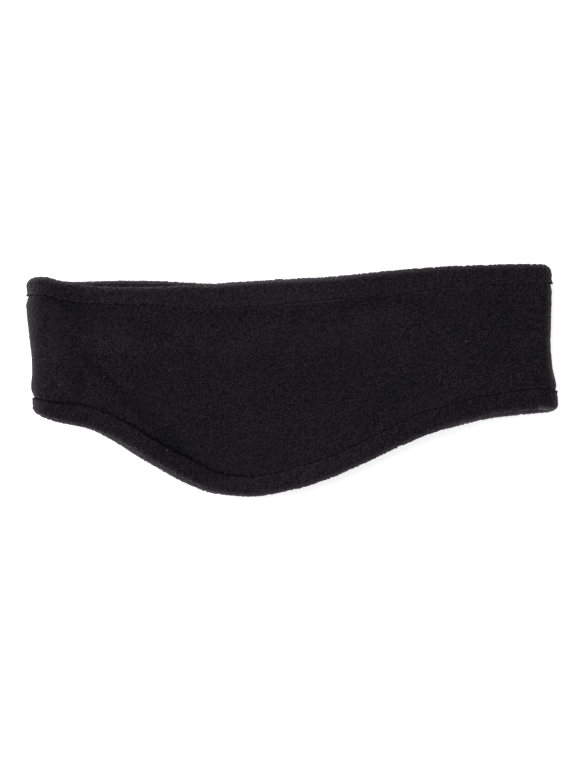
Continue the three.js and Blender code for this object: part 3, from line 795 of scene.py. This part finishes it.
def fleece(name, gap_colour, tip_colour, bloom):
    """Polar fleece: polyester knit whose napped fibres mat into nubs. The eye gets a matt black with
    paler tips, darker gaps, a soft pale bloom where the cloth turns away, and a stray pale fibre here and
    there. Painted shade and painted light come in through the pile attribute, and painted rim light through
    the second attribute, which turns the colour towards the fibres' pale sides."""
    material, tree, shader = new_material(name)
    place = add(tree, "ShaderNodeTexCoord").outputs["Object"]
    at = [("Vector", place)]
    pile = add(tree, "ShaderNodeAttribute", attribute_name="pile").outputs["Fac"]
    fibres = add(tree, "ShaderNodeTexNoise", at, scale=1 / (FIBRE_SIZE * MM), detail=3.0, roughness=0.7)
    curls = add(tree, "ShaderNodeTexVoronoi", at, scale=1 / (CURL_SIZE * MM), detail=1.0)
    clumps = add(tree, "ShaderNodeTexNoise", at, scale=1 / (CLUMP_SIZE * MM), detail=0.0)

    # The height of the matted fibres: single fibres, and the curls that they make.
    far_from_curl = [("Value", curls.outputs["Distance"])]
    curl = add(tree, "ShaderNodeMapRange", far_from_curl, from_min=CURL_FOOT, from_max=CURL_TOP)
    terms = [(0, fibres.outputs["Fac"]), (2, curl.outputs[0])]
    height = add(tree, "ShaderNodeMath", terms, operation="MULTIPLY_ADD")
    height.inputs[1].default_value = FIBRE_WEIGHT

    # High places show the pale tips and low ones the dark gaps. The pile attribute also brings in painted
    # shade and painted light.
    terms = [(0, pile), (2, height.outputs[0])]
    total = add(tree, "ShaderNodeMath", terms, operation="MULTIPLY_ADD")
    total.inputs[1].default_value = PILE_WEIGHT
    summed = [("Value", total.outputs[0])]
    shade = add(tree, "ShaderNodeMapRange", summed, from_min=DARKEST, from_max=PALEST)
    colour = add(tree, "ShaderNodeMix", [(0, shade.outputs[0])], data_type="RGBA")
    colour.inputs[6].default_value = linear(gap_colour)
    colour.inputs[7].default_value = linear(tip_colour)
    clumped = [("Value", clumps.outputs["Fac"])]
    drift = add(tree, "ShaderNodeMapRange", clumped, to_min=CLUMP_DARK, to_max=CLUMP_PALE)
    scaled = [(0, colour.outputs[2]), ("Scale", drift.outputs[0])]
    toned = add(tree, "ShaderNodeVectorMath", scaled, operation="SCALE")

    # Painted rim light: at the outer edges and near the nape fold the colour turns towards the fibres' pale
    # sides.
    edge = add(tree, "ShaderNodeAttribute", attribute_name="painted_rim_light").outputs["Fac"]
    terms = [(0, edge), (1, fibres.outputs["Fac"])]
    rim_light_share = add(tree, "ShaderNodeMath", terms, operation="MULTIPLY")
    rim_lit = add(tree, "ShaderNodeMix", [(0, rim_light_share.outputs[0]), (6, toned.outputs[0])], data_type="RGBA")
    rim_lit.inputs[7].default_value = linear(RIM_LIGHT_COLOUR)

    # A few stray pale fibres, about a millimetre long.
    turned = add(tree, "ShaderNodeMapping", at, vector_type="TEXTURE")
    turned.inputs["Rotation"].default_value = FLECK_TURN
    turned.inputs["Scale"].default_value = FLECK_STRETCH
    turned_at = [("Vector", turned.outputs[0])]
    strays = add(tree, "ShaderNodeTexVoronoi", turned_at, scale=1 / (FLECK_SPACING * MM))
    far_from_fleck = [("Value", strays.outputs["Distance"])]
    stray = add(tree, "ShaderNodeMapRange", far_from_fleck, from_min=FLECK_END, from_max=FLECK_MIDDLE)
    flecked = add(tree, "ShaderNodeMix", [(0, stray.outputs[0]), (6, rim_lit.outputs[2])], data_type="RGBA")
    flecked.inputs[7].default_value = linear(STRAY_FIBRE)

    raised = [("Height", height.outputs[0])]
    bump = add(tree, "ShaderNodeBump", raised, strength=0.8, distance=BUMP_HEIGHT * MM)
    tree.links.new(flecked.outputs[2], shader.inputs["Base Color"])
    tree.links.new(bump.outputs[0], shader.inputs["Normal"])
    shader.inputs["Roughness"].default_value = 0.95
    shader.inputs["Specular IOR Level"].default_value = 0.04
    shader.inputs["Sheen Weight"].default_value = bloom
    shader.inputs["Sheen Roughness"].default_value = 0.35
    shader.inputs["Sheen Tint"].default_value = linear(BLOOM_TINT)
    return material


def thread():
    """Spun polyester thread, black, twisted: a faint satin gleam along each stitch."""
    material, tree, shader = new_material("spun_polyester_thread")
    place = add(tree, "ShaderNodeTexCoord").outputs["Object"]
    twist = add(tree, "ShaderNodeTexNoise", [("Vector", place)], scale=1 / (TWIST_SIZE * MM), detail=2.0)
    colour = add(tree, "ShaderNodeMix", [(0, twist.outputs["Fac"])], data_type="RGBA")
    colour.inputs[6].default_value = linear("#0d0c0e")
    colour.inputs[7].default_value = linear("#1b191c")
    tree.links.new(colour.outputs[2], shader.inputs["Base Color"])
    shader.inputs["Roughness"].default_value = 0.6
    return material


def acrylic():
    """Opal acrylic sheet of a light table, lit a little from below: an even white ground that swallows most
    of the shadow, with the faintest tone in it."""
    material, tree, shader = new_material("opal_acrylic")
    place = add(tree, "ShaderNodeTexCoord").outputs["Object"]
    tone = add(tree, "ShaderNodeTexNoise", [("Vector", place)], scale=1 / (CLOUD_SIZE * MM), detail=2.0)
    colour = add(tree, "ShaderNodeMix", [(0, tone.outputs["Fac"])], data_type="RGBA")
    colour.inputs[6].default_value = linear("#f5f5f5")
    colour.inputs[7].default_value = linear("#f8f8f8")
    tree.links.new(colour.outputs[2], shader.inputs["Base Color"])
    shader.inputs["Roughness"].default_value = 0.6
    shader.inputs["Emission Color"].default_value = linear("#ffffff")
    shader.inputs["Emission Strength"].default_value = 0.36
    return material


# The camera looks straight down. The photo is 576 pixels wide and 768 high, and the headband spans these
# pixels of it.
PHOTO_WIDTH, PHOTO_HEIGHT = 576, 768
SHOWN_LEFT, SHOWN_RIGHT, SHOWN_TOP, SHOWN_BOTTOM = 26.2, 557.4, 263.7, 497.1
LENS = 200.0
SENSOR = 36.0  # the long side of the frame

# The studio. lamps: name, place and width in metres, power in watts.
LAMPS = (
    ("key_softbox", (-0.5, 0.6, 1.5), 1.2, 19.5),
    ("fill_softbox", (0.7, -0.6, 1.4), 1.2, 9.5),
    ("nape_side_softbox", (-1.3, 0.1, 0.35), 0.6, 13),
)
ROOM_LIGHT = 0.6  # strength of the even light from all round
FLOOR_REACH = 3.0  # metres from the middle of the floor to its sides


def make_camera():
    """A long lens far above the band, with its long side up the picture."""
    mm_per_pixel = FOLDED_LENGTH / (SHOWN_RIGHT - SHOWN_LEFT)
    centre = (LOW + HIGH) / 2
    right = centre[0] + (PHOTO_WIDTH / 2 - (SHOWN_LEFT + SHOWN_RIGHT) / 2) * mm_per_pixel
    up = centre[1] + ((SHOWN_TOP + SHOWN_BOTTOM) / 2 - PHOTO_HEIGHT / 2) * mm_per_pixel
    away = PHOTO_HEIGHT * mm_per_pixel * LENS / SENSOR
    data = bpy.data.cameras.new("camera")
    data.lens, data.sensor_width = LENS, SENSOR
    camera = bpy.data.objects.new("camera", data)
    camera.location = np.array([right, up, centre[2] + away]) * MM
    bpy.context.scene.collection.objects.link(camera)
    bpy.context.scene.camera = camera


def area_light(name, place, size, power):
    """A round softbox that faces the middle of the surface."""
    data = bpy.data.lights.new(name, "AREA")
    data.shape = "DISK"
    data.size, data.energy = size, power
    lamp = bpy.data.objects.new(name, data)
    lamp.location = place
    lamp.rotation_euler = (-Vector(place)).to_track_quat("-Z", "Y").to_euler()
    bpy.context.scene.collection.objects.link(lamp)


def light_studio():
    for lamp in LAMPS:
        area_light(*lamp)
    world = bpy.data.worlds.new("studio")
    world.use_nodes = True
    world.node_tree.nodes["Background"].inputs["Color"].default_value = linear("#f4f5f7")
    world.node_tree.nodes["Background"].inputs["Strength"].default_value = ROOM_LIGHT
    bpy.context.scene.world = world
    bpy.context.scene.view_settings.view_transform = "Standard"


def make_floor():
    mesh = bpy.data.meshes.new("floor")
    corners = [(FLOOR_REACH * x, FLOOR_REACH * y, 0) for x, y in ((-1, -1), (1, -1), (1, 1), (-1, 1))]
    mesh.from_pydata(corners, [], [(0, 1, 2, 3)])
    mesh.materials.append(acrylic())
    floor = bpy.data.objects.new("floor", mesh)
    bpy.context.scene.collection.objects.link(floor)


make_camera()
light_studio()
make_floor()

# The colour of the gaps, the colour of the tips and the strength of the bloom. Sewn flat, the pile has none,
# and its darker colours are painted shade in the groove.
panel_fleece = fleece("polar_fleece", "#070708", "#28252b", 0.2)
binding_fleece = fleece("polar_fleece_binding", "#0a090b", "#2b282d", 0.22)
sewn_shaded_fleece = fleece("polar_fleece_sewn_flat_shaded", "#060607", "#252226", 0.0)
black_thread = thread()

panel = make_panel(panel_fleece, sewn_shaded_fleece)
crown_binding = make_binding("crown", binding_fleece, sewn_shaded_fleece)
ear_binding = make_binding("ear", binding_fleece, sewn_shaded_fleece)
crown_stitches = make_stitches("crown", black_thread)
ear_stitches = make_stitches("ear", black_thread)

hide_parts("fleece_band")
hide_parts("crown_binding")
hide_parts("ear_binding")
for piece in (panel, crown_binding, ear_binding, crown_stitches, ear_stitches):
    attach(piece, "root")
